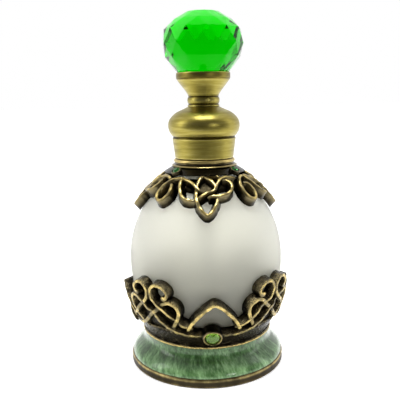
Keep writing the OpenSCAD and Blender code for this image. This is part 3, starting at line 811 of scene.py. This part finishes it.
SMALL_R = 1.2
CUP = [
    (0, -0.3, 0.5), (0, -0.8, 0), (1.62, -0.8, 0), (1.62, 0.2, 0.1), (1.5, 0.48, 0.4),
    (1.3, 0.5, 0.35), (1.24, 0.3, 0.2), (1.24, -0.3, 0.1),
]
small_seat = (COLLAR_TURN + 45, 12.3, 61.7, 58)
cups = four_times(lathe(CUP, 32), *small_seat)
add_piece("stone_cups", cups, SETTING, "bottle", ["collar_cups"])
EMERALD = gem("emerald glass", (0.03, 0.24, 0.04), 0.7)
emeralds = four_times(hull_of(cut_stone(SMALL_R, -0.25, 0.25, 0.85, 8)), *small_seat)
add_piece("emeralds", emeralds, EMERALD, "bottle", ["collar_stones"], 5)

# ---- Cap shell ----
# Turned brass over-cap: a tapered skirt, a groove and a full dome, brushed on the lathe and left to
# age. It covers the pump and lifts off.

CAP_Z = 64.9
DOME_TOP = 80.4
BRASS_STOPS = [(0.0, (0.05, 0.036, 0.004)), (0.5, (0.315, 0.262, 0.056)), (1.0, (0.62, 0.53, 0.19))]
BRASS = metal("aged brass", BRASS_STOPS, (0.42, 0.27), 130, 1300, 9.0, 0.06)
SCREW_R = 1.45


def cap_outline():
    """Outside from the lower edge up over the dome, then the ceiling and the inside."""
    skirt = [(9.0, CAP_Z, 0.3), (9.06, 65.0, 0.85), (9.1, 65.3, 0.5)]
    skirt += [(9.1 + 0.66 * (z - 65.3) / 5.3, z, 0.5) for z in np.linspace(65.6, 70.6, 10)]
    groove = [
        (9.8, 70.75, 0.8), (9.72, 70.95, 0.2), (9.56, 71.1, 0.0), (9.55, 71.4, 0.0),
        (9.7, 71.6, 0.15),
    ]
    dome = [(9.9, 71.7), (10.75, 73.1), (11.05, 75.0), (10.5, 76.8), (8.7, 78.6), (6.2, 79.8)]
    dome = [(r, z, 0.52) for r, z in smooth_path([*dome, (4.9, DOME_TOP)], 10)]
    inside = [(SCREW_R + 0.1, DOME_TOP, 0.4), (SCREW_R + 0.1, 79.2, 0.4), (6.2, 79.2, 0.5)]
    inside += [(8.2, 78.2, 0.5), (9.6, 76.6, 0.5), (10.0, 75, 0.5), (9.6, 73.2, 0.5)]
    inside += [(8.25, 70.6, 0.5), (8.25, CAP_Z, 0.5)]
    return skirt + groove + dome + inside


add_piece("cap", lathe(cap_outline(), 200), BRASS, "cap", ["cap_shell"])

# ---- Cap liner ----
# The moulded plastic sleeve pressed inside the cap. Fine ribs down its inside grip the closure by
# friction.


def plastic(name, colour, rough=0.4, clear=0.0):
    """Moulded plastic: a faint cloud in the colour and a fine eggshell in the surface."""
    deep = tuple(0.93 * c for c in colour)
    material, tree, link, shader = clouded(name, 220.0, 3.0, deep, colour)
    place = put(tree, "ShaderNodeTexCoord", -700, -250)
    eggshell = put(tree, "ShaderNodeTexNoise", -500, -250, Scale=1800.0, Detail=2.0)
    relief = put(tree, "ShaderNodeBump", -300, -250, Strength=0.06, Distance=0.0001)
    link(place.outputs["Object"], eggshell.inputs["Vector"])
    link(eggshell.outputs["Fac"], relief.inputs["Height"])
    link(relief.outputs[0], shader.inputs["Normal"])
    shader.inputs["Roughness"].default_value = rough
    shader.inputs["Transmission Weight"].default_value = clear
    return material


def ribbed(side, steps, count, depth, is_ribbed):
    """A turned outline. Where is_ribbed(r, z) is true, its radius swells by depth in count round ribs:
    depth times the size of the sine of half count times the angle."""
    points, faces, tone = lathe(side, steps)
    r = np.hypot(points[:, 0], points[:, 1])
    swell = depth * np.abs(np.sin(np.arctan2(points[:, 1], points[:, 0]) * count / 2))
    grow = np.where(is_ribbed(r, points[:, 2]), (r + swell) / np.maximum(r, 1e-9), 1)
    return points * np.column_stack([grow, grow, np.ones(len(grow))]), faces, tone


LINER = [
    (8.2, 65.4, 0), (8.2, 70.2, 0), (7.95, 70.2, 0), (7.78, 70.0, 0), (7.78, 65.7, 0),
    (7.95, 65.4, 0),
]
liner = ribbed(LINER, 240, 24, 0.12, lambda r, z: r < 7.9)
LINER_PLASTIC = plastic("liner plastic", (0.86, 0.86, 0.83))
add_piece("liner", liner, LINER_PLASTIC, "cap", ["cap_liner"])

# ---- Spool bead, cup and finial screw ----
# Two turned brass pieces between the cap and the knob, drawn down by a brass screw from inside the
# cap. The cup flares out to carry the knob, which is cemented in it.

SPOOL = [
    (SCREW_R + 0.1, DOME_TOP, 0.3), (4.7, DOME_TOP, 0.1), (4.86, 80.5, 0.5), (4.9, 80.7, 0.7),
    (4.82, 80.9, 0.4), (4.64, 81.05, 0.0), (4.62, 81.25, 0.0), (4.74, 81.45, 0.3), (4.9, 81.9, 0.5),
    (4.96, 82.35, 0.6), (4.92, 82.8, 0.5), (4.78, 83.15, 0.3), (4.62, 83.35, 0.0),
    (4.6, 83.55, 0.0), (4.72, 83.7, 0.4), (4.74, 83.9, 0.3), (SCREW_R + 0.1, 83.9, 0.3),
]
add_piece("spool", lathe(SPOOL, 128), BRASS, "cap", ["spool_bead"])
FLARE = [
    (SCREW_R, 83.9, 0.3), (4.7, 83.9, 0.3), (4.78, 84.1, 0.6), (5.58, 85.3, 0.5), (6.5, 86.5, 0.5),
    (7.45, 87.7, 0.5), (7.82, 88.25, 0.6), (8.05, 88.6, 0.3), (8.16, 88.8, 0.05), (8.24, 89.0, 0.3),
    (8.25, 89.6, 0.25), (8.24, 90.25, 0.35), (8.2, 90.5, 0.7), (8.14, 90.6, 0.8),
    (8.06, 90.58, 0.6), (7.3, 88.3, 0.5), (0, 88.3, 0.7), (0, 87.2, 0.3), (SCREW_R, 87.2, 0.3),
]
add_piece("flared_cup", lathe(FLARE, 160), BRASS, "cap", ["crystal_cup"])
SCREW_STOPS = [(0.0, (0.3, 0.22, 0.08)), (0.5, (0.6, 0.46, 0.2)), (1.0, (0.8, 0.64, 0.32))]
SCREW_BRASS = metal("screw brass", SCREW_STOPS, (0.35, 0.25), 400, 2500)
SCREW = [
    (0, 78.5, 0.2), (0.9, 78.5, 0.3), (1.0, 78.12, 0.6), (1.9, 78.1, 0.6), (2.4, 78.25, 0.7),
    (2.6, 78.5, 0.6), (2.6, 79.2, 0.5), (SCREW_R, 79.2, 0.4),
]
SCREW += [(SCREW_R - 0.14 * (k % 2), 79.4 + 0.25 * k, 0.4) for k in range(30)]
SCREW += [(1.2, 87.0, 0.4), (0, 87.0, 0.4)]
add_piece("screw", lathe(SCREW, 48), SCREW_BRASS, "cap", ["finial_screw"])

# ---- Cut-glass knob ----
# Green glass, ground and polished in rows of facets. Each row of corners is half a facet on from the
# last, so the edges zigzag; the arrises are barely softened.

FACETS = 12
KNOB_ROWS = [
    (6.0, 88.4), (8.0, 90.8), (11.4, 95.2), (12.3, 99.0), (11.6, 103.3), (8.8, 106.0), (5.1, 108.2),
]


def crystal_finish():
    """Clear glass coloured through: the deeper the light goes, the greener it comes out. Its mirror
    reflections are tinted too, so they don't veil the colour, and a faint cloud varies it a little."""
    deep, pale = (0.74, 0.96, 0.72), (0.84, 1.0, 0.80)
    material, tree, link, shader = clouded("green crystal", 160.0, 2.0, deep, pale)
    shader.inputs["Roughness"].default_value = 0.0
    shader.inputs["IOR"].default_value = 1.49
    shader.inputs["Specular Tint"].default_value = (0.08, 0.7, 0.05, 1)
    shader.inputs["Transmission Weight"].default_value = 1.0
    depth = put(tree, "ShaderNodeVolumeAbsorption", 100, -300, Density=620.0)
    depth.inputs["Color"].default_value = (0.0, 0.955, 0.0, 1)
    link(depth.outputs[0], tree["Material Output"].inputs["Volume"])
    return material


def knob_corners():
    """Row k has its corners turned by k half facets."""
    ring = np.arange(FACETS) * 2 * math.pi / FACETS
    half = math.pi / FACETS
    return np.vstack([corner_ring(r, z, ring + k * half) for k, (r, z) in enumerate(KNOB_ROWS)])


knob = hull_of(knob_corners())
add_piece("knob", knob, crystal_finish(), "cap", ["crystal_knob"], 5, bevel=0.09)

# ---- Pump closure ----
# Gold anodised aluminium shell over the screw closure that holds the pump on the neck, with fine
# vertical flutes to turn it by.

GOLD_STOPS = [(0.0, (0.4, 0.32, 0.13)), (0.5, (0.62, 0.5, 0.22)), (1.0, (0.76, 0.63, 0.32))]
ANODISED = metal("gold anodised", GOLD_STOPS, (0.3, 0.22), 200, 1800, 6.0, 0.05)
CLOSURE = [
    (6.6, 60.9, 0.3), (7.45, 60.9, 0.4), (7.55, 61.1, 0.6), (7.55, 61.3, 0.5), (7.55, 67.9, 0.5),
    (7.68, 68.1, 0.6), (7.68, 69.1, 0.5), (7.45, 69.45, 0.8), (7.2, 69.5, 0.6), (3.6, 69.5, 0.5),
    (3.6, 68.7, 0.4), (6.6, 68.7, 0.3),
]
flutes = ribbed(CLOSURE, 360, 60, 0.13, lambda r, z: (np.abs(r - 7.55) < 0.01) & (z > 61.2) & (z < 68))
add_piece("closure", flutes, ANODISED, "closure", ["pump_closure"])

# ---- Actuator and nozzle ----
# The push button has a gold anodised shell, a dished top and a recess underneath that clears the
# housing cap. The white moulded nozzle insert is pressed into its side.

BUTTON = [
    (1.55, 74.5, 0.3), (4.2, 74.5, 0.3), (4.2, 73.0, 0.3), (5.1, 73.0, 0.4), (5.25, 73.15, 0.7),
    (5.25, 76.9, 0.5), (5.2, 77.25, 0.7), (5.0, 77.5, 0.8), (4.7, 77.6, 0.8), (4.3, 77.55, 0.6),
    (3.0, 77.36, 0.5), (1.5, 77.25, 0.5), (0, 77.22, 0.5), (0, 75.6, 0.3), (1.55, 75.6, 0.3),
]
add_piece("button", lathe(BUTTON, 96), ANODISED, "spray_head", ["actuator"])
NOZZLE_IN = 3.7
NOZZLE_Z = 75.4
NOZZLE = [
    (0, 0, 0), (1.1, 0, 0), (1.1, 1.62, 0), (1.0, 1.72, 0), (0.45, 1.72, 0), (0.32, 1.5, 0),
    (0.16, 1.45, 0), (0.14, 0.8, 0), (0, 0.8, 0),
]
WHITE_PLASTIC = plastic("pump plastic", (0.88, 0.88, 0.86), 0.35)
nozzle_points, nozzle_faces, nozzle_tone = lathe(NOZZLE, 40)
nozzle = (facing(nozzle_points, 0, NOZZLE_IN, NOZZLE_Z, 0), nozzle_faces, nozzle_tone)
add_piece("nozzle", nozzle, WHITE_PLASTIC, "spray_head", ["nozzle_insert"])

# ---- Return spring ----
# Stainless wire coiled over five turns between the inlet seat and the piston. It stands on its seat
# and shortens by the button's stroke.


def coil(radius, wire, z0, z1, turns, per_turn=28, around=8):
    """A tube round a helix: the wire's circle lies in the plane of the radius and Z at each step."""
    t = np.linspace(0, turns * 2 * math.pi, int(turns * per_turn) + 1)
    ring = np.arange(around) * 2 * math.pi / around
    z = np.interp(t, [0, 5.5, t[-1] - 5.5, t[-1]], [z0 + wire, z0 + 3 * wire, z1 - 3 * wire, z1 - wire])
    r = radius + wire * np.cos(ring)[None, :]
    height = z[:, None] + wire * np.sin(ring)[None, :]
    points = np.stack([r * np.cos(t)[:, None], r * np.sin(t)[:, None], height], -1)
    faces = [[face[0], *face[:0:-1]] for face in quads(len(t), around, False)]
    caps = [list(range(around)), list(range(len(t) * around - 1, len(t) * around - around - 1, -1))]
    return points.reshape(-1, 3), faces + caps, np.full(len(t) * around, 0.6)


STEEL_STOPS = [(0.0, (0.35, 0.35, 0.36)), (0.5, (0.55, 0.55, 0.57)), (1.0, (0.75, 0.75, 0.77))]
STEEL = metal("stainless", STEEL_STOPS, (0.3, 0.18), 500, 3000)
SPRING_FOOT = 54.2
SPRING_TOP = 60.0
spring = coil(2.2, 0.25, SPRING_FOOT, SPRING_TOP, 5)
spring_piece = add_piece("spring", spring, STEEL, "pump", ["pump_spring"])
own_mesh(spring_piece)

# ---- Pump housing, dip tube, seals, piston, stem and ball ----
# The moulded parts and the ball keep the shapes they were designed with. They are white, clear and
# milky plastics, with a steel ball at the inlet.

SEAL = plastic("seal plastic", (0.82, 0.84, 0.86), 0.5)
TUBE = plastic("tube plastic", (0.9, 0.92, 0.92), 0.2, 0.6)
KEPT = {
    "pump_housing": (WHITE_PLASTIC, "pump_plastic"),
    "housing_cap": (WHITE_PLASTIC, "pump_plastic"),
    "stem": (WHITE_PLASTIC, "pump_plastic"),
    "neck_gasket": (SEAL, "seal_plastic"),
    "piston": (SEAL, "seal_plastic"),
    "dip_tube": (TUBE, "tube_plastic"),
    "inlet_ball": (STEEL, "steel"),
}
for node, (material, slot) in KEPT.items():
    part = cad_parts[node]
    part.data.materials.clear()
    part.data.materials.append(material)

# ---- Stage ----
# A pale seamless floor under plain soft studio light. The camera stands near, at the height of the
# spool bead, and looks down a little.

FLOOR_GLOW = 0.45
MIRRORED_FRONT = (0.1, 0.1, 0.1)
CAMERA_AWAY = 175
CAMERA_Z = 82.6
CAMERA_PITCH = 10.15
CAMERA_TURN = -6.5
CAMERA_PAN = 0.515
CAMERA_ROLL = -0.95
LENS = 50.58


def floor_finish():
    """White acrylic with a weak light under it, as on a product table. Only for mirror rays, the part of
    it in front of the object is dark, so that turned metal has a dark middle."""
    material, tree, link, shader = new_material("studio floor")
    place = put(tree, "ShaderNodeTexCoord", -1100, 0)
    cloud = put(tree, "ShaderNodeTexNoise", -700, 200, Scale=6.0)
    colours = ramp(tree, -500, 200, [(0.3, (0.93, 0.93, 0.93)), (0.7, (0.95, 0.95, 0.95))])
    split = put(tree, "ShaderNodeSeparateXYZ", -900, 0)
    ahead = put(tree, "ShaderNodeMapRange", -700, -50, From_Min=-0.16, From_Max=-0.06, To_Min=1.0)
    ahead.inputs["To Max"].default_value = 0.0
    ahead.interpolation_type = "SMOOTHSTEP"
    ray = put(tree, "ShaderNodeLightPath", -700, -400)
    mirrored_front = put(tree, "ShaderNodeMath", -500, -100, operation="MULTIPLY")
    dim = put(tree, "ShaderNodeMix", -250, 100, data_type="RGBA")
    dim.inputs[7].default_value = (*MIRRORED_FRONT, 1)
    glow = put(tree, "ShaderNodeMapRange", -250, -250, To_Min=FLOOR_GLOW, To_Max=0.0)
    link(place.outputs["Object"], cloud.inputs["Vector"])
    link(place.outputs["Object"], split.inputs[0])
    link(split.outputs["Y"], ahead.inputs["Value"])
    link(ahead.outputs[0], mirrored_front.inputs[0])
    link(ray.outputs["Is Glossy Ray"], mirrored_front.inputs[1])
    link(cloud.outputs["Fac"], colours.inputs["Fac"])
    link(mirrored_front.outputs[0], dim.inputs[0])
    link(colours.outputs["Color"], dim.inputs[6])
    link(dim.outputs[2], shader.inputs["Base Color"])
    link(mirrored_front.outputs[0], glow.inputs["Value"])
    link(glow.outputs[0], shader.inputs["Emission Strength"])
    shader.inputs["Roughness"].default_value = 0.9
    shader.inputs["Emission Color"].default_value = (1, 1, 1, 1)
    return material


floor_mesh = bpy.data.meshes.new("floor")
floor_mesh.from_pydata([(-6, -6, 0), (6, -6, 0), (6, 6, 0), (-6, 6, 0)], [], [(0, 1, 2, 3)])
floor_mesh.materials.append(floor_finish())
floor = bpy.data.objects.new("floor", floor_mesh)
bpy.context.scene.collection.objects.link(floor)


def soft_light(name, width, depth, power, place, aim=(0, 0, 0.06)):
    """A rectangular soft box at place that looks at aim."""
    lamp = bpy.data.lights.new(name, "AREA")
    lamp.shape = "RECTANGLE"
    lamp.size, lamp.size_y = width, depth
    lamp.energy = power
    light = bpy.data.objects.new(name, lamp)
    light.location = place
    away = np.array(aim) - np.array(place)
    from_up = math.acos(-away[2] / np.linalg.norm(away))
    light.rotation_euler = (from_up, 0, math.atan2(away[1], away[0]) - math.pi / 2)
    bpy.context.scene.collection.objects.link(light)


soft_light("overhead box", 0.34, 0.08, 3.4, (0.0, -0.08, 0.75))
soft_light("left box", 0.25, 0.6, 1.2, (-0.7, -0.05, 0.35))
soft_light("right box", 0.2, 0.6, 0.5, (0.7, 0.0, 0.35))
soft_light("low front strip", 0.1, 0.02, 0.16, (0.2, -0.4, 0.13), (0, 0, 0))


def studio_world():
    """White all round for what the camera sees directly or through glass. What the object mirrors and
    the soft light on it fall off to the front, as in a room with its windows at the sides."""
    world = bpy.data.worlds.new("studio")
    world.use_nodes = True
    tree, link = world.node_tree.nodes, world.node_tree.links.new
    place = put(tree, "ShaderNodeTexCoord", -900, 0)
    split = put(tree, "ShaderNodeSeparateXYZ", -700, 0)
    front = put(tree, "ShaderNodeMapRange", -500, 0, From_Min=-0.8, From_Max=0.2, To_Min=0.1, To_Max=1.0)
    front.interpolation_type = "SMOOTHSTEP"
    ray = put(tree, "ShaderNodeLightPath", -700, -300)
    direct = put(tree, "ShaderNodeMath", -500, -300, operation="MAXIMUM")
    strength = put(tree, "ShaderNodeMath", -250, 0, operation="MAXIMUM")
    link(place.outputs["Generated"], split.inputs[0])
    link(split.outputs["Y"], front.inputs["Value"])
    link(ray.outputs["Is Camera Ray"], direct.inputs[0])
    link(ray.outputs["Is Transmission Ray"], direct.inputs[1])
    link(front.outputs[0], strength.inputs[0])
    link(direct.outputs[0], strength.inputs[1])
    link(strength.outputs[0], tree["Background"].inputs["Strength"])
    tree["Background"].inputs["Color"].default_value = (1, 1, 1, 1)
    bpy.context.scene.world = world
    bpy.context.scene.view_settings.view_transform = "Standard"


studio_world()


def turn_matrix(axis, degrees):
    """The matrix of a turn about the X or the Z axis."""
    a = math.radians(degrees)
    c, s = math.cos(a), math.sin(a)
    rows = {"X": [(1, 0, 0), (0, c, -s), (0, s, c)], "Z": [(c, -s, 0), (s, c, 0), (0, 0, 1)]}
    return np.array(rows[axis])


camera = bpy.data.objects.new("camera", bpy.data.cameras.new("camera"))
bpy.context.scene.collection.objects.link(camera)
camera.data.lens = LENS
camera.data.sensor_width = 36
aim = turn_matrix("Z", CAMERA_TURN + CAMERA_PAN) @ turn_matrix("X", 90 - CAMERA_PITCH)
look = aim @ turn_matrix("Z", CAMERA_ROLL)
place = turn_matrix("Z", CAMERA_TURN) @ np.array([0, -CAMERA_AWAY, CAMERA_Z]) * MM
matrix = np.eye(4)
matrix[:3, :3] = look
matrix[:3, 3] = place
camera.matrix_world = Matrix(matrix.tolist())
bpy.context.scene.camera = camera
